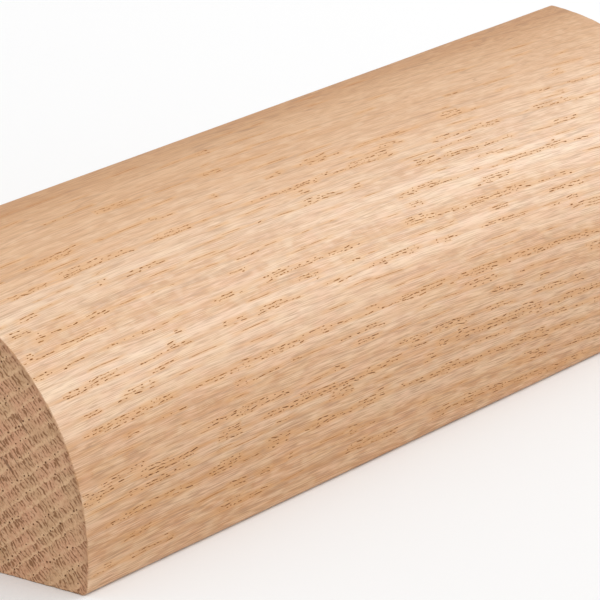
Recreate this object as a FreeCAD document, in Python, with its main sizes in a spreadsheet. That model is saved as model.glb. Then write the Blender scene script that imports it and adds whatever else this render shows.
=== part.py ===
"""Quarter round moulding: one short length of solid oak trim.

The section is a quarter of a circle. Its two flat faces meet at a square heel, one lies on the floor and
the other stands against the wall, and the round face runs from the toe on the floor up to the top of the wall
face. The moulder leaves the three long arrises slightly eased. Both ends are sawn square.

Frame, in millimetres: +X along the grain, +Z up, the wall face on the +Y side and the round face towards -Y.
The origin is on the floor face, halfway along the length and halfway between the toe and the wall face.
"""

import FreeCAD
import Part
import math
import os
import Sketcher

# The driving dimensions: each face's width, the length of the piece, and the easing of its long arrises
SIZES = {
    "leg": 19.05,
    "stock_length": 101.6,
    "arris_radius": 0.4,
}

NODE = "quarter_round"
PARTS_FOLDER = "parts"

# Sketcher's names for the points of an edge, and its first axis line
START, END, CENTRE = 1, 2, 3
ORIGIN_POINT = (-1, 1)
FLOOR_LINE_AXIS = -1


def make_sheet(doc):
    """The spreadsheet that holds the driving dimensions, one alias for each."""
    sheet = doc.addObject("Spreadsheet::Sheet", "sizes")
    for row, (alias, value) in enumerate(SIZES.items(), start=1):
        sheet.set(f"A{row}", alias)
        sheet.set(f"B{row}", str(value))
        sheet.setAlias(f"B{row}", alias)
    doc.recompute()
    return sheet


def origin_plane(body, role):
    """One of the body's own origin planes, by its role."""
    return next(plane for plane in body.Origin.OriginFeatures if plane.Role == role)


def sketch_section(body, sheet):
    """The section square to the grain: two flat faces and the quarter circle centred on their heel."""
    leg = sheet.leg
    heel = FreeCAD.Vector(leg / 2, 0, 0)
    toe = FreeCAD.Vector(-leg / 2, 0, 0)
    top = FreeCAD.Vector(leg / 2, leg, 0)

    sketch = body.newObject("Sketcher::SketchObject", "section")
    sketch.AttachmentSupport = [(origin_plane(body, "YZ_Plane"), "")]
    sketch.MapMode = "FlatFace"

    floor_face = sketch.addGeometry(Part.LineSegment(toe, heel))
    wall_face = sketch.addGeometry(Part.LineSegment(heel, top))
    circle = Part.Circle(heel, FreeCAD.Vector(0, 0, 1), leg)
    round_face = sketch.addGeometry(Part.ArcOfCircle(circle, math.pi / 2, math.pi))

    sketch.addConstraint(
        [
            Sketcher.Constraint("Coincident", floor_face, END, wall_face, START),
            Sketcher.Constraint("Coincident", wall_face, END, round_face, START),
            Sketcher.Constraint("Coincident", round_face, END, floor_face, START),
            Sketcher.Constraint("Coincident", round_face, CENTRE, floor_face, END),
            Sketcher.Constraint("PointOnObject", floor_face, START, FLOOR_LINE_AXIS),
            Sketcher.Constraint("PointOnObject", floor_face, END, FLOOR_LINE_AXIS),
            Sketcher.Constraint("Vertical", wall_face),
        ]
    )
    heel_offset = sketch.addConstraint(
        Sketcher.Constraint("DistanceX", *ORIGIN_POINT, floor_face, END, leg / 2)
    )
    round_radius = sketch.addConstraint(Sketcher.Constraint("Radius", round_face, leg))
    sketch.setExpression(f"Constraints[{heel_offset}]", "sizes.leg / 2")
    sketch.setExpression(f"Constraints[{round_radius}]", "sizes.leg")
    return sketch


def saw_to_length(body, sketch):
    """The section run along the grain, half of the length to each side of the origin."""
    stock = body.newObject("PartDesign::Pad", "stock")
    stock.Profile = sketch
    stock.SideType = "Symmetric"
    stock.setExpression("Length", "sizes.stock_length")
    return stock


def ease_arrises(body, stock):
    """The toe, the top and the heel, the only straight edges along the grain, rounded over."""
    long_edges = [
        f"Edge{number}"
        for number, edge in enumerate(stock.Shape.Edges, start=1)
        if isinstance(edge.Curve, Part.Line) and abs(edge.tangentAt(edge.FirstParameter).x) > 0.999
    ]
    eased = body.newObject("PartDesign::Fillet", "eased_arrises")
    eased.Base = (stock, long_edges)
    eased.setExpression("Radius", "sizes.arris_radius")
    return eased


def check(doc, body, sheet):
    """Stops the build if a feature failed or the solid isn't the eased quarter cylinder that it should be."""
    failed = [item.Label for item in doc.Objects if {"Invalid", "Error"} & set(item.State)]
    if failed:
        raise RuntimeError(f"these objects failed: {failed}")
    shape = body.Shape
    if shape.isNull() or not shape.isValid() or len(shape.Solids) != 1:
        raise RuntimeError("the moulding isn't one valid solid")
    sharp_section = math.pi / 4 * sheet.leg**2
    # Rounding a square corner takes off a little over a fifth of the radius squared, at three corners
    eased_off = 3 * (1 - math.pi / 4) * sheet.arris_radius**2
    expected = (sharp_section - eased_off) * sheet.stock_length
    if abs(shape.Volume / expected - 1) > 0.002:
        raise RuntimeError(f"the volume is {shape.Volume:.1f} mm3, and {expected:.1f} was expected")


def main():
    doc = FreeCAD.newDocument("quarter_round_moulding")
    sheet = make_sheet(doc)
    body = doc.addObject("PartDesign::Body", NODE)
    body.Label = NODE
    section = sketch_section(body, sheet)
    stock = saw_to_length(body, section)
    doc.recompute()
    ease_arrises(body, stock)
    doc.recompute()
    check(doc, body, sheet)
    os.makedirs(PARTS_FOLDER, exist_ok=True)
    body.Shape.exportStep(os.path.join(PARTS_FOLDER, f"{body.Label}.step"))
    box = body.Shape.BoundBox
    print(f"{NODE}: {box.XLength:.2f} x {box.YLength:.2f} x {box.ZLength:.2f} mm, {body.Shape.Volume:.0f} mm3")


main()
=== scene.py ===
"""Dresses the quarter round moulding: the sawn and sanded stock in unfinished red oak.

The wood is one piece of a log. A place in it is given along the grain, out across the growth rings and
round along a ring. The rings' calendar says where each year's spring wood lies. The mesh cuts that year's
vessels open, as grooves on the long faces and as holes in the sawn ends. The oak's colours follow the same
calendar, so what shows on an end carries on over the long faces.

The wood is laid out in millimetres. Blender's objects are in metres.
"""

import math
import random
from bisect import bisect_right
from collections import namedtuple

import bmesh
import bpy
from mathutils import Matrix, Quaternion, Vector, noise
from mathutils.geometry import delaunay_2d_cdt


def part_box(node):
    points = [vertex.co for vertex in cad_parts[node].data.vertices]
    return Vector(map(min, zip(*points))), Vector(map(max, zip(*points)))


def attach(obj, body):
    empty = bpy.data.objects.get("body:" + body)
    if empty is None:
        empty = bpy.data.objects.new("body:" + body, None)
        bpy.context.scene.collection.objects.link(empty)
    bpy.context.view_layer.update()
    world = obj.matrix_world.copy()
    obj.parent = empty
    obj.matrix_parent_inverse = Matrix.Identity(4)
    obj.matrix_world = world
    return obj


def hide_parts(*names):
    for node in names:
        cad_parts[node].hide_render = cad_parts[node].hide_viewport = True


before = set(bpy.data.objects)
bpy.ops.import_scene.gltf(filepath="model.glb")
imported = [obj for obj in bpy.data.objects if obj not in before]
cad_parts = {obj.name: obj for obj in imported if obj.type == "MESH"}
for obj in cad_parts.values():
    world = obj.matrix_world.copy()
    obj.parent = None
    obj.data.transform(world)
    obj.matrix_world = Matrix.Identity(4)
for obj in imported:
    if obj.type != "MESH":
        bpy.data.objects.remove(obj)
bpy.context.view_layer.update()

NODE = "quarter_round"
MM = 0.001

# How the log lies in the piece: the rings' lean in the section, the distance to the pith, and where along
# the piece and how slowly the grain bows
RING_LEAN = math.radians(45)
PITH_AWAY = 250.0
BOW_AT = -21.8
BOW_RADIUS = 1060.0

# The rings' calendar, out from the toe: where each year's spring wood starts, and how open its vessels are
YEARS = (
    (-7.6, 0.5), (-6.6, 0.5), (-5.5, 0.8), (-4.4, 0.55), (-3.15, 1.0), (-2.1, 0.65), (-1.4, 1.0),
    (-0.45, 0.65), (0.55, 0.35), (1.4, 0.5), (2.35, 1.0), (3.5, 0.25), (4.4, 0.3), (5.3, 0.84),
    (6.3, 0.3), (7.15, 0.9), (8.4, 0.5), (9.5, 0.75), (10.4, 0.3), (11.3, 0.66), (12.1, 0.25),
    (12.85, 0.82), (13.6, 0.25), (14.4, 0.58), (15.3, 0.2), (16.3, 0.3), (17.2, 0.2), (18.1, 0.15),
    (19.0, 0.08), (19.9, 0.1), (20.8, 0.1), (21.8, 0.1), (22.8, 0.1), (23.8, 0.1),
)
STARTS = [start for start, _ in YEARS]
LAST_YEAR = len(YEARS) - 1

# The share of a year that is spring wood
SPRING = 0.42


def sag(distance, radius):
    """How far a shallow curve leaves its tangent over a distance. Takes numbers or Values."""
    return distance * distance * (0.5 / radius)


def across_rings(along, y, z):
    """How far a place lies out across the rings, and round along one. Takes numbers or Values."""
    out = y * math.sin(RING_LEAN) + z * math.cos(RING_LEAN)
    around = z * math.sin(RING_LEAN) - y * math.cos(RING_LEAN)
    return out + sag(around, PITH_AWAY) + sag(along - BOW_AT, BOW_RADIUS), around


def calendar(out):
    """The year of a place across the rings, and how far on in that year it is, 0 to 1."""
    year = min(max(bisect_right(STARTS, out) - 1, 0), LAST_YEAR - 1)
    return year, (out - STARTS[year]) / (STARTS[year + 1] - STARTS[year])


# The easing of the long arrises
ARRIS = 0.4


def straight(first, last):
    """A straight stretch of the section: its length, and the place and outward normal at a share of it."""
    length = math.dist(first, last)
    normal = ((first[1] - last[1]) / length, (last[0] - first[0]) / length)

    def place(share):
        return tuple(a + (b - a) * share for a, b in zip(first, last)), normal

    return length, place


def bend(centre, radius, start, end):
    """A round stretch of the section between two angles in degrees, given like a straight one."""

    def place(share):
        turn = math.radians(start + (end - start) * share)
        normal = (math.cos(turn), math.sin(turn))
        return tuple(c + radius * n for c, n in zip(centre, normal)), normal

    return radius * math.radians(abs(end - start)), place


class Section:
    """The section's outline, measured round from the heel: floor face, toe, round face, top, wall face."""

    FLOOR_FACE, ROUND_FACE, WALL_FACE = 1, 3, 5
    FEWEST_STEPS = 6

    def __init__(self, leg, heel):
        reach = math.sqrt((leg - ARRIS) ** 2 - ARRIS**2)
        slope = math.degrees(math.asin(ARRIS / (leg - ARRIS)))
        toe = (heel - reach, ARRIS)
        top = (heel - ARRIS, reach)
        self.leg, self.heel = leg, heel
        self.stretches = (
            bend((heel - ARRIS, ARRIS), ARRIS, 0, -90),
            straight((heel - ARRIS, 0), (toe[0], 0)),
            bend(toe, ARRIS, -90, -180 - slope),
            bend((heel, 0), leg, 180 - slope, 90 + slope),
            bend(top, ARRIS, 90 + slope, 0),
            straight((heel, reach), (heel, ARRIS)),
        )
        self.starts = [0.0]
        for length, _ in self.stretches:
            self.starts.append(self.starts[-1] + length)
        self.girth = self.starts[-1]

    def place(self, at):
        """The place (y, z) and the outward normal at a distance round the section."""
        index = min(bisect_right(self.starts, at), len(self.stretches)) - 1
        length, place = self.stretches[index]
        return place((at - self.starts[index]) / length)

    def steps(self, spacing):
        """Distances round the section, even on each stretch, with the stretches' ends among them."""
        found = [0.0]
        for start, end in zip(self.starts, self.starts[1:]):
            count = max(self.FEWEST_STEPS, math.ceil((end - start) / spacing))
            found += [start + (end - start) * i / count for i in range(1, count)] + [end]
        return found

    def holds(self, y, z, margin):
        """Whether a place lies inside the section by a margin."""
        return y < self.heel - margin and z > margin and math.hypot(y - self.heel, z) < self.leg - margin


class LongFace:
    """One long face: where on it, round the section, each place across the rings comes out."""

    FINENESS = 400
    EDGE = 0.15

    def __init__(self, section, index):
        first, last = section.starts[index] + self.EDGE, section.starts[index + 1] - self.EDGE
        places = [first + (last - first) * i / self.FINENESS for i in range(self.FINENESS + 1)]
        rings = [across_rings(BOW_AT, *section.place(at)[0])[0] for at in places]
        if rings[0] > rings[-1]:
            places, rings = places[::-1], rings[::-1]
        self.places, self.rings = places, rings

    def find(self, along, out):
        """The distance round the section, or None where the ring misses the face."""
        level = out - sag(along - BOW_AT, BOW_RADIUS)
        i = bisect_right(self.rings, level)
        if not 0 < i < len(self.rings):
            return None
        share = (level - self.rings[i - 1]) / (self.rings[i] - self.rings[i - 1])
        return self.places[i - 1] + (self.places[i] - self.places[i - 1]) * share


# How open the wood is at a point: 0 on its surface, this much at the rim of a pit, and 1 at the bottom of
# the deepest. A point more open than the second value lies below its pit's rim.
RIM = 0.1
BELOW_RIM = 1.5 * RIM


def pit_depth(opening):
    """How deep a point of a pit lies, 0 at its rim and 1 at the bottom of the deepest."""
    return max(0.0, opening - RIM) / (1 - RIM)


class Net:
    """Points of a surface laid flat, as (across the sheet, up it, opening), and edges its triangles keep."""

    INSIDE_ONLY = 1
    MERGED_BELOW = 1e-7

    def __init__(self):
        self.points = []
        self.edges = []

    def add(self, u, v, opening=0.0):
        self.points.append((u, v, opening))
        return len(self.points) - 1

    def path(self, corners):
        self.edges += zip(corners, corners[1:])

    def pit(self, rim, floor):
        """A pit: its rim, a closed loop at the surface, and points along its floor with depths, 0 to 1."""
        loop = [self.add(u, v, RIM) for u, v in rim]
        self.path(loop + loop[:1])
        self.path([self.add(u, v, RIM + (1 - RIM) * depth) for u, v, depth in floor])

    def triangles(self, stretch=1.0):
        """The triangles inside the outermost loop, as places in the list of points."""
        flat = [Vector((u / stretch, v)) for u, v, _ in self.points]
        found = delaunay_2d_cdt(flat, self.edges, [], self.INSIDE_ONLY, self.MERGED_BELOW)
        faces, sources = found[2:4]
        return [[sources[corner][0] for corner in face] for face in faces]


# A station of a groove: its place along the grain and round the section, how far the groove reaches above
# and below that, and its depth, 0 to 1. A box is the room that a stretch between two stations takes up, and
# the clearance is what two grooves keep between them.
Station = namedtuple("Station", "along at up down depth")
Box = namedtuple("Box", "start end low high")
CLEARANCE = 0.035

# How a vessel is cut into: widths, depths, and the distance between stations
Cut = namedtuple("Cut", "widths depths step")
DASH = Cut((0.07, 0.13), (0.4, 1.0), 0.13)
HAIRLINE = Cut((0.045, 0.085), (0.1, 0.4), 0.45)

# Any cut: how blunt its ends are, how uneven its two sides are, how much of its depth is left after sanding,
# how far and how quickly it wanders across the rings, the usual tilt of one shorter than the limit, and the
# fewest stretches that it has
BLUNTNESS = 2.5
UNEVENNESS = (0.6, 1.1)
DEPTH_LEFT = (0.65, 1.0)
WANDER = 0.10
WANDERS_PER_MM = 0.22
TILT = 0.05
LONGEST_TILTED = 1.5
FEWEST_STRETCHES = 3

# One vessel shows as deep dashes: their lengths and the spread of these, the gaps between them, and how far
# they stray out of line. Over gaps up to the longest thread the vessel shows as a thin shallow thread.
DASHES = (0.18, 0.22, 0.27, 0.33, 0.4, 0.5, 0.65, 0.9)
DASH_SPREAD = (0.75, 1.3)
DASH_GAPS = (0.06, 0.9)
DASH_STRAYS = 0.015
LONGEST_THREAD = 0.55
THREAD_WIDTHS = (0.03, 0.06)
THREAD_DEPTHS = (0.04, 0.22)

# A year's vessels lie in clumps along a narrow row, crowded towards its start. A clump has a reach to either
# side of its middle, of which each vessel has a share, and a number of vessels beside each other in lanes.
# Some clumps stray from the row. Open years have many more clumps than closed ones.
CLUMPS_PER_MM = 0.62
OPEN_YEARS_FIRST = 2.4
CLUMP_REACH = (0.5, 4.0)
CLUMP_SHARES = (0.4, 1.0)
CLUMP_SIZES = (1, 1, 2, 2, 2, 3)
LANE_APART = 0.18
LANE_STRAYS = 0.03
ROW_WIDTH = 0.26
ROW_CROWDING = 1.3
STRAY_CLUMPS = 0.05

# Long thin vessels in the same row that are hardly cut into: their lengths, and the share of them that any
# year has and that an open year adds
HAIRLINES_PER_MM = 0.16
HAIRLINE_LENGTHS = (0.8, 5.0)
HAIRLINE_SHARES = (0.4, 0.85)

# How far short of the sawn ends grooves end, and what their random numbers start from
GROOVE_MARGIN = 0.15
GROOVE_SEED = 41


def overlap(box, other):
    """Whether two boxes share some room."""
    beside = box.end <= other.start or other.end <= box.start
    above = box.high <= other.low or other.high <= box.low
    return not (beside or above)


class Grooves:
    """The vessels that the long faces cut open, each a line of stations, kept clear of each other."""

    CELL = (1.0, 0.3)

    def __init__(self, lo, hi):
        self.lo, self.hi = lo, hi
        self.chance = random.Random(GROOVE_SEED)
        self.found = []
        self.room = {}

    def boxes(self, line):
        """The room round each stretch of a line."""
        room = CLEARANCE / 2
        for first, last in zip(line, line[1:]):
            low = min(first.at - first.down, last.at - last.down)
            high = max(first.at + first.up, last.at + last.up)
            yield Box(first.along - room, last.along + room, low - room, high + room)

    def cells(self, box):
        """The cells that a box touches, by which the boxes near it are found."""
        long, wide = self.CELL
        columns = range(math.floor(box.start / long), math.floor(box.end / long) + 1)
        rows = range(math.floor(box.low / wide), math.floor(box.high / wide) + 1)
        return [(column, row) for column in columns for row in rows]

    def clear(self, line):
        """Whether a line lies clear of the grooves already cut."""
        return not any(
            overlap(box, other)
            for box in self.boxes(line)
            for cell in self.cells(box)
            for other in self.room.get(cell, ())
        )

    def keep(self, line):
        """Cuts a groove along a line, and takes its room."""
        if not line:
            return
        for box in self.boxes(line):
            for cell in self.cells(box):
                self.room.setdefault(cell, []).append(box)
        first, *inner, last = line
        upper = [(station.along, station.at + station.up) for station in inner]
        lower = [(station.along, station.at - station.down) for station in inner]
        floor = [(station.along, station.at, station.depth) for station in inner]
        rim = [first[:2], *upper, last[:2], *reversed(lower)]
        self.found.append((rim, floor))

    def mostly_least(self, least, most):
        """A number between two, more often near the least."""
        return least + (most - least) * self.chance.random() ** 2

    def half_width(self, full):
        """How far a groove reaches to one side: about half its full width there, and at least a thread's."""
        return max(full * self.chance.uniform(*UNEVENNESS), self.chance.uniform(*THREAD_WIDTHS)) / 2

    def swelling(self, face, start, end, out, cut):
        """Stations that swell from a thread to a full width and back. None where they leave the face."""
        chance = self.chance
        steps = max(FEWEST_STRETCHES, round((end - start) / cut.step))
        tilt = chance.gauss(0, TILT) if end - start < LONGEST_TILTED else 0.0
        left = chance.uniform(*DEPTH_LEFT)
        width = chance.uniform(*cut.widths)
        found = []
        for i in range(steps + 1):
            along = start + (end - start) * i / steps
            wander = WANDER * noise.noise((along * WANDERS_PER_MM, out, 0))
            wander += tilt * (along - (start + end) / 2)
            full = math.sqrt(1 - abs(2 * i / steps - 1) ** BLUNTNESS) * width
            up, down = (self.half_width(full) for _ in range(2))
            inner = 0 < i < steps
            depth = chance.uniform(*cut.depths) * left if inner else chance.uniform(*THREAD_DEPTHS)
            found.append(Station(along, face.find(along, out + wander), up, down, depth))
        return None if any(station.at is None for station in found) else found

    def open_vessel(self, face, first, last, out):
        """Cuts one vessel open between two places: dashes, and threads over the shorter gaps."""
        line = []
        along = first
        while along < last:
            end = along + self.chance.choice(DASHES) * self.chance.uniform(*DASH_SPREAD)
            level = out + self.chance.gauss(0, DASH_STRAYS)
            dash = self.swelling(face, along, end, level, DASH)
            gap = self.mostly_least(*DASH_GAPS)
            fits = dash and end < self.hi and self.clear(line[-1:] + dash)
            if fits:
                line += dash
            if not fits or gap > LONGEST_THREAD:
                self.keep(line)
                line = []
            along = end + gap
        self.keep(line)

    def open_clump(self, face, year):
        """Cuts open a few of a year's vessels that lie beside each other."""
        chance = self.chance
        start, after = STARTS[year : year + 2]
        middle = chance.uniform(self.lo, self.hi)
        reach = self.mostly_least(*CLUMP_REACH)
        strays = chance.random() < STRAY_CLUMPS
        row = after - start if strays else min((after - start) * SPRING, ROW_WIDTH)
        level = start + chance.random() ** ROW_CROWDING * row
        for lane in range(chance.choice(CLUMP_SIZES)):
            first = max(middle - reach * chance.uniform(*CLUMP_SHARES), self.lo)
            last = min(middle + reach * chance.uniform(*CLUMP_SHARES), self.hi)
            self.open_vessel(face, first, last, level + lane * LANE_APART + chance.gauss(0, LANE_STRAYS))

    def open_hairline(self, face, out):
        """Cuts one long thin groove, where there is room for it."""
        start = self.chance.uniform(self.lo, self.hi - HAIRLINE_LENGTHS[1])
        end = start + self.chance.uniform(*HAIRLINE_LENGTHS)
        line = self.swelling(face, start, end, out, HAIRLINE)
        if line and self.clear(line):
            self.keep(line)

    def open_year(self, face, year):
        """Cuts open the vessels of one year on one face."""
        start, openness = YEARS[year]
        length = self.hi - self.lo
        for _ in range(round(openness**OPEN_YEARS_FIRST * CLUMPS_PER_MM * length)):
            self.open_clump(face, year)
        least, more = HAIRLINE_SHARES
        for _ in range(round((least + more * openness) * HAIRLINES_PER_MM * length)):
            self.open_hairline(face, start + self.chance.random() * ROW_WIDTH)


def cut_grooves(section, lo, hi):
    """The grooves of the three long faces, each as its rim and the points along its floor."""
    grooves = Grooves(lo + GROOVE_MARGIN, hi - GROOVE_MARGIN)
    for index in (Section.ROUND_FACE, Section.FLOOR_FACE, Section.WALL_FACE):
        face = LongFace(section, index)
        for year in range(LAST_YEAR):
            grooves.open_year(face, year)
    return grooves.found


# The spacing of the mesh's points along the grain, across it and on the ends. Grooves run along the grain,
# so the triangles between them are stretched that way.
POINTS_ALONG = 2.0
POINTS_ACROSS = 0.25
POINTS_ON_END = 0.30
GRAIN_STRETCH = 8.0


def evenly(lo, hi, spacing):
    """Evenly spaced places from lo to hi."""
    count = math.ceil((hi - lo) / spacing)
    return [lo + (hi - lo) * i / count for i in range(count + 1)]


def near_grooves(grooves, along, round_it):
    """The points of a grid that lie in a groove or close beside one."""
    beside = DASH.widths[1] / 2 + CLEARANCE
    found = set()
    for rim, floor in grooves:
        line = [place[:2] for place in (rim[0], *floor, rim[len(rim) // 2])]
        for (start, low), (end, high) in zip(line, line[1:]):
            low, high = min(low, high) - beside, max(low, high) + beside
            columns = range(bisect_right(along, start - CLEARANCE), bisect_right(along, end + CLEARANCE))
            rows = range(bisect_right(round_it, low), bisect_right(round_it, high))
            found.update((column, row) for column in columns for row in rows)
    return found


def sheet_net(section, lo, hi):
    """The long faces laid flat, along the grain and round the section, with their grooves, and its grid."""
    grooves = cut_grooves(section, lo, hi)
    along = evenly(lo, hi, POINTS_ALONG)
    round_it = section.steps(POINTS_ACROSS)
    dropped = near_grooves(grooves, along, round_it)
    net = Net()
    grid = {
        (i, k): net.add(x, at)
        for i, x in enumerate(along)
        for k, at in enumerate(round_it)
        if (i, k) not in dropped
    }
    right, top = len(along) - 1, len(round_it) - 1
    net.path([grid[i, 0] for i in range(right + 1)] + [grid[right, k] for k in range(1, top + 1)])
    net.path([grid[i, top] for i in range(right, -1, -1)] + [grid[0, k] for k in range(top - 1, -1, -1)])
    for rim, floor in grooves:
        net.pit(rim, floor)
    return net, grid, right, top


# Pores in a sawn end: how many, their radii, corners and depths, the room between them and round them, and
# how far they stay inside the section
PORES_ON_END = 300
PORE_RADII = (0.05, 0.09)
PORE_CORNERS = 7
PORE_DEPTHS = (0.6, 1.0)
PORE_APART = 0.24
PORE_CLEARANCE = 0.06
PORE_MARGIN = 0.35

# Where pores lie: up to this time of the year, and with this chance in any year and so much more in an open
# one
LAST_PORES = SPRING * 0.65
PORE_CHANCES = (0.25, 0.75)

# How far the points between the pores stay inside the section, and what the random numbers start from
END_MARGIN = 0.2
END_SEED = 7


def near_cell(cells, cell):
    """What lies in a cell and in the eight round it."""
    column, row = cell
    places = [(column + i, row + k) for i in (-1, 0, 1) for k in (-1, 0, 1)]
    return [cells[place] for place in places if place in cells]


def end_pores(section, along, chance):
    """The vessels that a saw cut across: (y, z, radius), in the spring wood of the open years."""
    least, more = PORE_CHANCES
    found = {}
    while len(found) < PORES_ON_END:
        y, z = section.heel - chance.uniform(0, section.leg), chance.uniform(0, section.leg)
        radius = chance.uniform(*PORE_RADII)
        if not section.holds(y, z, radius + PORE_MARGIN):
            continue
        year, season = calendar(across_rings(along, y, z)[0])
        if season > LAST_PORES or chance.random() > least + YEARS[year][1] * more:
            continue
        cell = (int(y / PORE_APART), int(z / PORE_APART))
        if all(math.dist(other[:2], (y, z)) > PORE_APART for other in near_cell(found, cell)):
            found[cell] = (y, z, radius)
    return list(found.values())


def end_net(section, along, rim, chance):
    """A sawn end laid flat, with its pores, inside a rim of places. The rim's points come first."""
    net = Net()
    border = [net.add(*place) for place in rim]
    net.path(border + border[:1])
    pores = end_pores(section, along, chance)
    cells = {}
    for pore in pores:
        cells.setdefault((int(pore[0]), int(pore[1])), []).append(pore)
    for y in evenly(section.heel - section.leg, section.heel, POINTS_ON_END):
        for z in evenly(0, section.leg, POINTS_ON_END):
            near = [pore for held in near_cell(cells, (int(y), int(z))) for pore in held]
            clear = all(math.dist(pore[:2], (y, z)) > pore[2] + PORE_CLEARANCE for pore in near)
            if clear and section.holds(y, z, END_MARGIN):
                net.add(y, z)
    for y, z, radius in pores:
        turn = chance.uniform(0, 1)
        angles = [math.tau * (i + turn) / PORE_CORNERS for i in range(PORE_CORNERS)]
        loop = [(y + radius * math.cos(angle), z + radius * math.sin(angle)) for angle in angles]
        net.pit(loop, [(y, z, chance.uniform(*PORE_DEPTHS))])
    return net


# Relief: how far the sanded spring wood lies below the summer wood at most, when in the year that is and how
# far the hollow reaches before and after, and how deep a vessel is at most on a long face and on an end
SANDED_HOLLOW = 0.012
HOLLOW_AT = 0.25
HOLLOW_REACH = 0.35
VESSEL_DEPTH = 0.09
PORE_DEPTH = 0.16

# The saw's marks on the ends: their depth, the distance between them, the centre that they swing about, and
# how far and how quickly they waver
SAW_MARK = 0.012
SAW_PITCH = 1.3
SAW_CENTRE = (-70.0, -80.0)
SAW_WAVER = 0.3
WAVERS_PER_MM = 0.3

# The rim of a sawn end: the least and most that the saw broke it, and its coarse and fine bites, each with
# its number to a millimetre, its strength and its layer of the noise, in which the two ends lie apart
Bite = namedtuple("Bite", "per_mm strength layer")
RIM_BREAK = (0.03, 0.11)
BITES = (Bite(2.2, 1.0, 0.5), Bite(6.0, 0.6, 4.5))
ENDS_APART = 9.0

# Edges that turn more than this are sharp
CREASE = math.radians(30)

# The map that the looks are laid on, in pixels: its side, the margin round each part of it, and the width of
# the strip for each end's broken edge
MAP_SIDE = 1024
MAP_MARGIN = 6
MAP_STRIP = 1

# What each point of the mesh carries: how open the wood is there, and 1 on the sawn ends
VESSEL_LAYER = "vessel"
SAWN_LAYER = "sawn"


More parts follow.
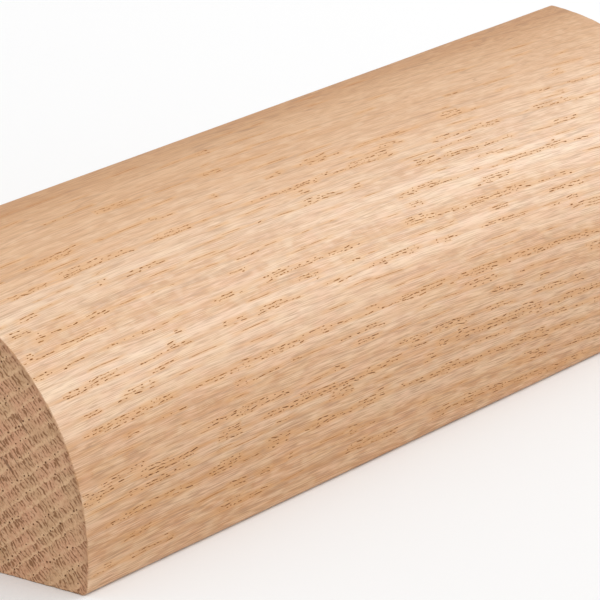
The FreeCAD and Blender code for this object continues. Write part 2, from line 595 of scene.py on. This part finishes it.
class Stock:
    """The moulding's mesh while it is made."""

    def __init__(self, section, lo, hi):
        self.section, self.lo, self.hi = section, lo, hi
        self.mesh = bmesh.new()
        self.vessel = self.mesh.verts.layers.float.new(VESSEL_LAYER)
        self.sawn = self.mesh.verts.layers.float.new(SAWN_LAYER)
        self.map = self.mesh.loops.layers.uv.new("OFBake")
        self.pixels = (MAP_SIDE - 2 * (MAP_MARGIN + MAP_STRIP)) / (hi - lo)
        self.end_pixels = (MAP_SIDE - 4 * MAP_MARGIN - section.girth * self.pixels) / section.leg

    def vertex(self, x, y, z, opening, sawn):
        """A vertex, in millimetres, with how open the wood is there and 1 for sawn if it is on an end."""
        made = self.mesh.verts.new((x * MM, y * MM, z * MM))
        made[self.vessel] = opening
        made[self.sawn] = sawn
        return made

    def face(self, corners, places):
        """A face with its place on the map, in pixels."""
        made = self.mesh.faces.new(corners)
        made.smooth = True
        for loop, place in zip(made.loops, places):
            loop[self.map].uv = [(MAP_MARGIN + pixel) / MAP_SIDE for pixel in place]

    def rim_break(self, side, at):
        """How far the saw broke the rim of one end, at a distance round the section."""
        least, most = RIM_BREAK
        ragged = sum(
            bite.strength * noise.noise((at * bite.per_mm, side * ENDS_APART, bite.layer)) for bite in BITES
        )
        return least + (most - least) * min(max(0.5 + ragged, 0), 1)

    def skin_vertex(self, x, at, opening):
        """A vertex of the long faces: lower in spring wood, deep in a groove, broken at the rims."""
        (y, z), normal = self.section.place(at)
        _, season = calendar(across_rings(x, y, z)[0])
        hollow = SANDED_HOLLOW * max(0.0, 1 - abs(season - HOLLOW_AT) / HOLLOW_REACH)
        inward = hollow + VESSEL_DEPTH * pit_depth(opening)
        if x == self.lo:
            x += self.rim_break(-1, at)
        elif x == self.hi:
            x -= self.rim_break(1, at)
        return self.vertex(x, y - normal[0] * inward, z - normal[1] * inward, opening, 0.0)

    def long_faces(self):
        """The long faces, closed round at the heel. Gives the rims' vertices at the two ends."""
        net, grid, right, top = sheet_net(self.section, self.lo, self.hi)
        closing = {grid[i, top]: grid[i, 0] for i in range(right + 1)}
        made = [None if i in closing else self.skin_vertex(*point) for i, point in enumerate(net.points)]
        for i, twin in closing.items():
            made[i] = made[twin]
        places = [(MAP_STRIP + (x - self.lo) * self.pixels, at * self.pixels) for x, at, _ in net.points]
        for corners in net.triangles(GRAIN_STRETCH):
            self.face([made[i] for i in corners], [places[i] for i in corners])
        return [[made[grid[i, k]] for k in range(top)] for i in (0, right)]

    def saw_mark(self, y, z):
        """The saw's marks: shallow arcs about its centre, 0 to 1."""
        waver = SAW_WAVER * noise.noise((y * WAVERS_PER_MM, z * WAVERS_PER_MM, 0))
        swing = math.dist((y, z), SAW_CENTRE) / SAW_PITCH + waver
        return 0.5 + 0.5 * math.sin(math.tau * swing)

    def sawn_end(self, side, rim):
        """One end, with the broken edge between it and the rim of the long faces."""
        section = self.section
        x = self.hi if side > 0 else self.lo
        steps = section.steps(POINTS_ACROSS)[:-1]
        inset = []
        for at in steps:
            (y, z), normal = section.place(at)
            broken = self.rim_break(side, at)
            inset.append((y - normal[0] * broken, z - normal[1] * broken))
        net = end_net(section, x, inset, random.Random(END_SEED + side))
        made = []
        for i, (y, z, opening) in enumerate(net.points):
            mark = 0.0 if i < len(steps) else SAW_MARK * self.saw_mark(y, z)
            inward = mark + PORE_DEPTH * pit_depth(opening)
            made.append(self.vertex(x - side * inward, y, z, opening, 1.0))
        scale = self.end_pixels
        left = 0 if side < 0 else section.leg * scale + MAP_MARGIN
        base = section.girth * self.pixels + MAP_MARGIN
        places = [
            (left + (y - section.heel + section.leg) * scale, base + z * scale) for y, z, _ in net.points
        ]
        for corners in net.triangles():
            self.face([made[i] for i in corners], [places[i] for i in corners])
        self.broken_edge(side, steps, rim, made)

    def broken_edge(self, side, steps, rim, inset):
        """The strip of faces between the rim of the long faces and a sawn end's outermost vertices."""
        border = MAP_STRIP if side < 0 else MAP_STRIP + (self.hi - self.lo) * self.pixels
        edge = border + side * MAP_STRIP
        for k, at in enumerate(steps):
            j = (k + 1) % len(steps)
            after = steps[j] if j else self.section.girth
            low, high = at * self.pixels, after * self.pixels
            places = [(border, low), (border, high), (edge, high), (edge, low)]
            self.face([rim[k], rim[j], inset[j], inset[k]], places)

    def crease(self):
        """Sharp edges at the sawn rims and round grooves and pores, so that wood between them looks flat."""
        pitted = {face: any(v[self.vessel] > BELOW_RIM for v in face.verts) for face in self.mesh.faces}
        for edge in self.mesh.edges:
            first, second = (pitted[face] for face in edge.link_faces)
            edge.smooth = first == second and (first or edge.calc_face_angle() < CREASE)

    def finished(self):
        """The mesh as an object in the scene."""
        bmesh.ops.recalc_face_normals(self.mesh, faces=self.mesh.faces)
        self.mesh.normal_update()
        self.crease()
        data = bpy.data.meshes.new(NODE + "_stock")
        self.mesh.to_mesh(data)
        self.mesh.free()
        piece = bpy.data.objects.new(NODE + "_stock", data)
        bpy.context.collection.objects.link(piece)
        return piece


def moulding(lo, hi):
    """The stock as one closed mesh: the long faces and two sawn ends."""
    stock = Stock(Section((hi.z - lo.z) / MM, hi.y / MM), lo.x / MM, hi.x / MM)
    for side, rim in zip((-1, 1), stock.long_faces()):
        stock.sawn_end(side, rim)
    return stock.finished()


class Value:
    """A socket of a node tree. Python's operators on it add Math nodes."""

    def __init__(self, tree, socket=None):
        self.tree = tree
        self.socket = socket

    def node(self, kind, settings=None, sockets=None, out=0):
        """Adds a node: its settings first, then the values or links of its sockets. Returns one output."""
        made = self.tree.nodes.new(kind)
        for name, setting in (settings or {}).items():
            if name == "points":
                set_points(made.mapping, setting)
            else:
                setattr(made, name, setting)
        for name, value in (sockets or {}).items():
            if isinstance(value, Value):
                self.tree.links.new(value.socket, made.inputs[name])
            else:
                made.inputs[name].default_value = value
        return Value(self.tree, made.outputs[out] if made.outputs else None)

    def math(self, operation, *others):
        return self.node("ShaderNodeMath", {"operation": operation}, dict(enumerate((self, *others))))

    def __add__(self, other):
        return self.math("ADD", other)

    def __mul__(self, other):
        return self.math("MULTIPLY", other)

    def __sub__(self, other):
        return self.math("SUBTRACT", other)

    def __rsub__(self, other):
        return self.node("ShaderNodeMath", {"operation": "SUBTRACT"}, {0: other, 1: self})

    def __abs__(self):
        return self.math("ABSOLUTE")

    __radd__ = __add__
    __rmul__ = __mul__

    def floor(self):
        return self.math("FLOOR")

    def fract(self):
        return self.math("FRACT")

    def step(self, start, end, before=0.0, after=1.0):
        """One number before start and another after end, smooth between them. start may be the larger."""
        return self.node(
            "ShaderNodeMapRange",
            {"interpolation_type": "SMOOTHSTEP"},
            {"Value": self, "From Min": start, "From Max": end, "To Min": before, "To Max": after},
        )

    def point(self, y, z):
        """A point from three numbers, of which this is the first."""
        return self.node("ShaderNodeCombineXYZ", {}, {0: self, 1: y, 2: z})

    def noise(self, detail, rough, out=0):
        """Smooth noise at a point, about 0 to 1."""
        sockets = {"Vector": self, "Scale": 1.0, "Detail": detail, "Roughness": rough}
        return self.node("ShaderNodeTexNoise", {}, sockets, out)

    def curve(self, points):
        """A number read from straight runs through points, both 0 to 1."""
        return self.node("ShaderNodeFloatCurve", {"points": points}, {"Value": self})

    def mix(self, first, second, blend="MIX"):
        """The first colour at 0 and the second at 1, or the two multiplied there."""
        return self.node(
            "ShaderNodeMix",
            {"data_type": "RGBA", "blend_type": blend},
            {"Factor": self, 6: colour(first), 7: colour(second)},
            2,
        )


def set_points(mapping, points):
    """Straight runs through these points in place of a curve's own two."""
    curve = mapping.curves[0].points
    for place in points[2:]:
        curve.new(*place)
    for point, place in zip(curve, points):
        point.location = place
        point.handle_type = "VECTOR"
    mapping.update()


def colour(tone):
    """A colour socket as it is, or a colour given as 0 to 255 in sRGB, as Blender's linear colour."""
    if isinstance(tone, Value):
        return tone

    def linear(c):
        c /= 255
        return c / 12.92 if c < 0.04045 else ((c + 0.055) / 1.055) ** 2.4

    return (*map(linear, tone), 1.0)


# A pattern in the wood: its lengths along the grain, across the rings and round them, and its finer detail
Pattern = namedtuple("Pattern", "lengths detail rough", defaults=(0.5,))

# A tint: its tone, how strong it is, where in a pattern it comes in, and where it goes again, if it does
Tint = namedtuple("Tint", "tone strength rise fall", defaults=(None,))


def stretched(place, lengths):
    """A place in the log in units of its own along, across and round the rings."""
    along, out, around = (part * (1 / length) for part, length in zip(place, lengths))
    return along.point(out, around)


def patterned(place, pattern, out=0):
    """A pattern's smooth noise at a place in the log, about 0 to 1."""
    return stretched(place, pattern.lengths).noise(pattern.detail, pattern.rough, out)


def lay(tone, tint, pattern, share=None, blend="MIX"):
    """A tone with a tint laid over it, where a pattern brings it in and as far as its share goes."""
    amount = pattern.step(*tint.rise) * tint.strength
    if tint.fall:
        amount = amount * pattern.step(*tint.fall)
    if share:
        amount = amount * share
    return amount.mix(tone, tint.tone, blend)


# How far fibres wander, and in what pattern
FIBRE_WANDER = 0.22
WANDERING = Pattern((9.0, 1.6, 1.6), 1.0)

# How the rings ripple: patterns and heights
RIPPLES = (
    (Pattern((9, 1.6, 0.8), 1.0), 0.22),
    (Pattern((6, 0.8, 0.30), 1.0), 0.24),
    (Pattern((4, 0.6, 0.12), 0.0), 0.20),
)

# How wide the shade along the round rim of an end is
SHADED_RIM = 0.7


def place_in_log(tree, leg, heel):
    """Along the grain, across the rings and round along one, in millimetres, and 1 at the round face."""
    here = Value(tree).node("ShaderNodeTexCoord", out="Object")
    along, y, z = (here.node("ShaderNodeSeparateXYZ", {}, {0: here}, axis) * (1 / MM) for axis in range(3))
    out, around = across_rings(along, y, z)
    rim = ((y - heel) * (y - heel) + z * z).step((leg - SHADED_RIM) ** 2, leg**2)
    return (along, out, around), rim


def wandering(place):
    """The same place, moved a little out and round, as fibres wander."""
    along, out, around = place
    shift = patterned(place, WANDERING, "Color")
    aside, up = (shift.node("ShaderNodeSeparateColor", {}, {0: shift}, channel) for channel in (0, 1))
    return along, out + (aside - 0.5) * FIBRE_WANDER, around + (up - 0.5) * FIBRE_WANDER


def growth(place):
    """The season of a place, 0 where a year starts and 1 at the next, and how open its vessels are."""
    across = STARTS[-1] - STARTS[0]
    out = place[1]
    for pattern, height in RIPPLES:
        out = out + (patterned(place, pattern) - 0.5) * height
    starts = [((start - STARTS[0]) / across, n / LAST_YEAR) for n, start in enumerate(STARTS)]
    opening = [(n / LAST_YEAR, openness) for n, (_, openness) in enumerate(YEARS)]
    ring = ((out - STARTS[0]) * (1 / across)).curve(starts) * LAST_YEAR
    return ring.fract(), (ring.floor() * (1 / LAST_YEAR)).curve(opening)


# The long faces' patterns
BANDS = Pattern((60, 3.0, 3.0), 2.0)
STRIPS = Pattern((24, 0.8, 4.0), 1.0)
WORN = Pattern((7, 1.5, 1.5), 1.0)
BLUSHES = Pattern((3, 1.1, 1.1), 2.0)
FLECKS = Pattern((2.0, 1.3, 0.25), 1.0)
LINES = Pattern((20, 0.6, 0.6), 0.0)
STREAKS = Pattern((3.0, 0.25, 0.25), 1.0)
FIBRES = Pattern((2.6, 0.055, 0.055), 1.0)

# Their ground: dark and pale bands
BAND_EDGE = (-0.13, 0.13)
BAND_TONES = ((201, 149, 98), (225, 191, 158))

# What is laid over it
PALE_STRIPS = Tint((236, 208, 179), 0.42, (-0.04, 0.16))
DARK_STRIPS = Tint((207, 154, 99), 0.40, (0.02, -0.18))
PINK_BLUSH = Tint((229, 180, 148), 0.32, (0.48, 0.66))
STRAW_BLUSH = Tint((235, 207, 167), 0.32, (0.52, 0.34))
DARK_STREAKS = Tint((184, 140, 100), 0.22, (0.48, 0.72))
PALE_STREAKS = Tint((236, 202, 168), 0.20, (0.50, 0.30))
DARK_FIBRES = Tint((176, 136, 100), 0.54, (0.48, 0.68))
PALE_FIBRES = Tint((243, 208, 173), 0.40, (0.50, 0.32))
DARK_LINES = Tint((170, 131, 97), 0.32, (0.024, 0.006))
RAY_FLECKS = Tint((236, 206, 174), 0.25, (0.50, 0.72))
SPRING_WOOD = Tint((206, 150, 88), 0.40, (0.0, 0.12), (0.60, 0.22))
RING_LINES = Tint((168, 126, 88), 0.28, (0.0, 0.02), (0.15, 0.06))
RING_LINES_SHOW = (0.38, 0.60)
VESSEL_HALO = Tint((220, 162, 92), 0.36, (0.0, RIM))

# Painted shade over the long faces, by level across the rings in millimetres and the same all along the
# piece: darker and pinker towards the toe, darker and browner towards the top
PAINTED_SHADE_BY_LEVEL = (
    Tint((238, 231, 224), 1.0, (6.2, -3.8)),
    Tint((253, 249, 245), 1.0, (6.7, 4.7), (-2.5, -0.9)),
    Tint((255, 250, 244), 1.0, (11.2, 13.7)),
    Tint((246, 239, 227), 1.0, (15.7, 19.7)),
    Tint((240, 230, 214), 1.0, (17.9, 19.5)),
)

# Vessels cut open: their own brown on the sides, and painted shade that darkens them the deeper they are,
# more so towards the toe, from one level to another
VESSEL_SIDES = Tint((168, 108, 40), 0.85, (RIM, 0.22))
SHADED_VESSEL_FLOORS = Tint((100, 56, 6), 0.92, (0.30, 0.72))
SHADED_TOE_VESSELS = Tint((70, 38, 8), 0.4, (RIM, 0.5))
TOE_VESSEL_LEVELS = (2.6, 0.6)

# Fibres and bands are fainter towards the top, and fibres stronger towards the toe: between which levels
# that changes, and from how much to how much
FIBRES_AT_TOP = (17.0, 9.0, 0.63, 1.0)
FIBRES_AT_TOE = (4.0, -2.0, 0.0, 0.32)
BANDS_AT_TOP = (15.5, 8.0, 0.16, 1.0)


def long_grain(place, grain, season, openness, fibre, vessel):
    """The colour of the long faces, with painted shade by level and painted shade in the open vessels."""
    along, out, _ = place
    level = out - sag(along - BOW_AT, BOW_RADIUS)
    fibrous = level.step(*FIBRES_AT_TOP) + level.step(*FIBRES_AT_TOE)
    banded = level.step(*BANDS_AT_TOP)
    band = (patterned(grain, BANDS) - 0.5) * banded
    strip = (patterned(place, STRIPS) - 0.5) * banded
    blush = patterned(grain, BLUSHES)
    streak = patterned(grain, STREAKS)
    line = abs(patterned(grain, LINES) - 0.5)
    worn = patterned(place, WORN).step(*RING_LINES_SHOW)
    tone = band.step(*BAND_EDGE).mix(*BAND_TONES)
    tone = lay(tone, PALE_STRIPS, strip)
    tone = lay(tone, DARK_STRIPS, strip)
    tone = lay(tone, PINK_BLUSH, blush, banded)
    tone = lay(tone, STRAW_BLUSH, blush, banded)
    tone = lay(tone, DARK_STREAKS, streak, fibrous)
    tone = lay(tone, PALE_STREAKS, streak, fibrous)
    tone = lay(tone, DARK_FIBRES, fibre, fibrous)
    tone = lay(tone, PALE_FIBRES, fibre, fibrous)
    tone = lay(tone, DARK_LINES, line)
    tone = lay(tone, RAY_FLECKS, patterned(grain, FLECKS))
    tone = lay(tone, SPRING_WOOD, season, openness)
    tone = lay(tone, RING_LINES, season, worn)
    tone = lay(tone, VESSEL_HALO, vessel)
    # Painted shade: darker towards the toe and towards the top, by level
    for tint in PAINTED_SHADE_BY_LEVEL:
        tone = lay(tone, tint, level, blend="MULTIPLY")
    tone = lay(tone, VESSEL_SIDES, vessel)
    # Painted shade in the grooves, over their own brown: darker towards their floors and towards the toe
    tone = lay(tone, SHADED_VESSEL_FLOORS, vessel)
    return lay(tone, SHADED_TOE_VESSELS, vessel, level.step(*TOE_VESSEL_LEVELS))


# The sawn ends' patterns
END_BANDS = Pattern((45, 2.4, 2.4), 2.0)
CHECKS = Pattern((8, 2.6, 0.16), 0.0)
RAYS = Pattern((6, 4, 0.10), 1.0)
PATCHES = Pattern((4, 0.9, 0.8), 1.0)
STRANDS = Pattern((4, 1.2, 0.24), 1.0)
MOTTLE = Pattern((4, 0.22, 0.11), 2.0)

# How far strands and mottle fray the edges of a year there
STRAND_FRAY = 0.4
MOTTLE_FRAY = 0.2

# Strokes of hard summer wood that stand across a year: how far apart they are and how far they lean, the
# time of the year over which they widen, and how strands and patches thin them out
STROKE_PITCH = 0.23
STROKE_LEANS = Pattern((4, 0.8, 0.45), 2.0, 0.6)
STROKE_LEAN = 2.3
STROKES_WIDEN = (-0.05, 0.85)
STRAND_COVER = (0.36, 0.62, 0.20, 0.75)
PATCH_COVER = (0.34, 0.58, 0.60, 1.05)

# How much of a stroke comes from its own row and from the mottle, its edge, and its look
ROW_IN_STROKE = 0.88
MOTTLE_IN_STROKE = 1.1
STROKE_EDGE = (0.78, 1.29)
STROKE_STRENGTH = 0.80
STROKE_TONE = (120, 76, 38)

# The ends' ground, and what is laid over it
END_BAND_EDGE = (0.34, 0.66)
END_BAND_TONES = ((204, 153, 119), (196, 155, 117))
PALE_LINES = Tint((222, 184, 143), 0.55, (-0.05, 0.05), (0.38, 0.14))
PALE_LINES_SHOW = (0.24, 0.50)
RAY_LINES = Tint((220, 184, 148), 0.30, (0.50, 0.72))
DARK_CHECKS = Tint((104, 66, 38), 0.7, (0.76, 0.83))
DARK_MOTTLE = Tint((148, 103, 62), 0.48, (0.50, 0.74))
PALE_MOTTLE = Tint((222, 184, 146), 0.30, (0.48, 0.26))
RIM_STRENGTH = 0.35
RIM_TONE = (144, 98, 66)
# The pores: their own brown, with painted shade down their holes
PORES = Tint((102, 62, 30), 0.80, (RIM, 0.25))


def end_grain(grain, season, vessel, rim):
    """The colour of the sawn ends, and the strokes of hard summer wood that stand in it."""
    strand = patterned(grain, STRANDS)
    patch = patterned(grain, PATCHES)
    mottle = patterned(grain, MOTTLE)
    frayed = season + (strand - 0.5) * STRAND_FRAY + (mottle - 0.5) * MOTTLE_FRAY
    swing = grain[2] * (1 / STROKE_PITCH) + patterned(grain, STROKE_LEANS) * STROKE_LEAN
    row = 1 - abs(swing.fract() - 0.5) * 2
    cover = frayed.step(*STROKES_WIDEN) * strand.step(*STRAND_COVER) * patch.step(*PATCH_COVER)
    strokes = (row * ROW_IN_STROKE + cover + (mottle - 0.5) * MOTTLE_IN_STROKE).step(*STROKE_EDGE)
    tone = patterned(grain, END_BANDS).step(*END_BAND_EDGE).mix(*END_BAND_TONES)
    tone = lay(tone, PALE_LINES, frayed, patch.step(*PALE_LINES_SHOW))
    tone = lay(tone, RAY_LINES, patterned(grain, RAYS))
    tone = (strokes * STROKE_STRENGTH).mix(tone, STROKE_TONE)
    tone = lay(tone, DARK_CHECKS, patterned(grain, CHECKS))
    tone = lay(tone, DARK_MOTTLE, mottle)
    tone = lay(tone, PALE_MOTTLE, mottle)
    tone = (rim * RIM_STRENGTH).mix(tone, RIM_TONE)
    # Painted shade in the pores' holes, over their own brown
    return lay(tone, PORES, vessel), strokes


# The oak's surface: how rough sanded wood is and what fibres, open vessels and sawn ends add to that, the
# shares of the bump's height that strokes and fibres take away, and the bump itself
SANDED_ROUGHNESS = 0.42
FIBRE_ROUGHNESS = 0.10
VESSEL_ROUGHNESS = (RIM, 0.25, 0.0, 0.25)
SAWN_ROUGHNESS = 0.25
STROKE_DEPTH = 0.6
FIBRE_DEPTH = 0.22
BUMP_STRENGTH = 0.6
BUMP_HEIGHT = 0.06 * MM
WOOD_IOR = 1.45


def oak(tree, leg, heel):
    """The oak's colour, roughness and height."""
    place, rim = place_in_log(tree, leg, heel)
    grain = wandering(place)
    season, openness = growth(place)
    fibre = patterned(grain, FIBRES)
    vessel, end = (
        rim.node("ShaderNodeAttribute", {"attribute_name": layer}, out="Fac")
        for layer in (VESSEL_LAYER, SAWN_LAYER)
    )
    long_tone = long_grain(place, grain, season, openness, fibre, vessel)
    end_tone, strokes = end_grain(grain, season, vessel, rim)
    height = 1 - strokes * end * STROKE_DEPTH - fibre * FIBRE_DEPTH
    roughness = SANDED_ROUGHNESS + fibre * FIBRE_ROUGHNESS
    roughness = roughness + vessel.step(*VESSEL_ROUGHNESS) + end * SAWN_ROUGHNESS
    return end.mix(long_tone, end_tone), roughness, height


def oak_material(lo, hi):
    """Sanded red oak without a finish, laid out for a piece between two corners."""
    material = bpy.data.materials.new("red_oak_sanded")
    material.use_nodes = True
    tree = material.node_tree
    tree.nodes.clear()
    base, roughness, height = oak(tree, (hi.z - lo.z) / MM, hi.y / MM)
    relief = {"Height": height, "Strength": BUMP_STRENGTH, "Distance": BUMP_HEIGHT}
    bump = height.node("ShaderNodeBump", {}, relief)
    looks = {"Base Color": base, "Roughness": roughness, "Normal": bump, "IOR": WOOD_IOR}
    shader = bump.node("ShaderNodeBsdfPrincipled", {}, looks)
    shader.node("ShaderNodeOutputMaterial", {}, {"Surface": shader})
    return material


def dress():
    """The stock in oak, in place of the plain solid."""
    lo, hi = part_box(NODE)
    piece = moulding(lo, hi)
    piece.data.materials.append(oak_material(lo, hi))
    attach(piece, "root")
    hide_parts(NODE)


# The studio, in metres and watts
FLOOR_HALF = 2.0
FLOOR_DROP = 0.02 * MM
FLOOR_COLOUR = (0.92, 0.92, 0.92, 1)
FLOOR_ROUGHNESS = 0.9
SKY_COLOUR = (1, 1, 1, 1)
SKY_STRENGTH = 0.85
Softbox = namedtuple("Softbox", "name place size watts")
SOFTBOXES = (
    Softbox("key", (-0.10, -0.55, 0.80), 0.6, 1.0),
    Softbox("sheen", (0.85, -0.23, 0.46), 0.5, 3.0),
)


def floor():
    """A wide pale floor, a hair below the underside so that the two never lie in one plane."""
    data = bpy.data.meshes.new("floor")
    signs = ((-1, -1), (1, -1), (1, 1), (-1, 1))
    data.from_pydata([(x * FLOOR_HALF, y * FLOOR_HALF, -FLOOR_DROP) for x, y in signs], [], [(0, 1, 2, 3)])
    ground = bpy.data.objects.new("floor", data)
    bpy.context.collection.objects.link(ground)
    material = bpy.data.materials.new("pale_floor")
    material.use_nodes = True
    shader = material.node_tree.nodes["Principled BSDF"]
    shader.inputs["Base Color"].default_value = FLOOR_COLOUR
    shader.inputs["Roughness"].default_value = FLOOR_ROUGHNESS
    data.materials.append(material)


def light(softbox):
    """One soft square light, aimed at the middle of the piece's underside."""
    data = bpy.data.lights.new(softbox.name, "AREA")
    data.size = softbox.size
    data.energy = softbox.watts
    lamp = bpy.data.objects.new(softbox.name, data)
    lamp.location = softbox.place
    lamp.rotation_mode = "QUATERNION"
    lamp.rotation_quaternion = (-Vector(softbox.place)).to_track_quat("-Z", "Y")
    bpy.context.collection.objects.link(lamp)


def lights():
    """An even white sky and two soft lights."""
    world = bpy.data.worlds.new("studio")
    world.use_nodes = True
    sky = world.node_tree.nodes["Background"]
    sky.inputs["Color"].default_value = SKY_COLOUR
    sky.inputs["Strength"].default_value = SKY_STRENGTH
    bpy.context.scene.world = world
    for softbox in SOFTBOXES:
        light(softbox)


# The camera at the photograph's angle: its lens and sensor in millimetres, how near and far it sees and
# where it stands in metres, and which way it looks
LENS = 399.05
SENSOR = 36
CLIP = (0.01, 20)
EYE = (-0.41114147, -0.20356469, 0.13940008)
AZIMUTH = math.radians(-63.334)
ELEVATION = math.radians(16.079)
ROLL = math.radians(6.2006)


def camera():
    """The camera, made the scene's own."""
    data = bpy.data.cameras.new("camera")
    data.sensor_width = SENSOR
    data.lens = LENS
    data.clip_start, data.clip_end = CLIP
    eye = bpy.data.objects.new("camera", data)
    level = math.cos(ELEVATION)
    ahead = Vector((-math.sin(AZIMUTH) * level, math.cos(AZIMUTH) * level, -math.sin(ELEVATION)))
    eye.location = EYE
    eye.rotation_mode = "QUATERNION"
    eye.rotation_quaternion = ahead.to_track_quat("-Z", "Y") @ Quaternion((0, 0, 1), ROLL)
    bpy.context.collection.objects.link(eye)
    bpy.context.scene.camera = eye


dress()
floor()
lights()
camera()
bpy.context.scene.view_settings.view_transform = "Standard"
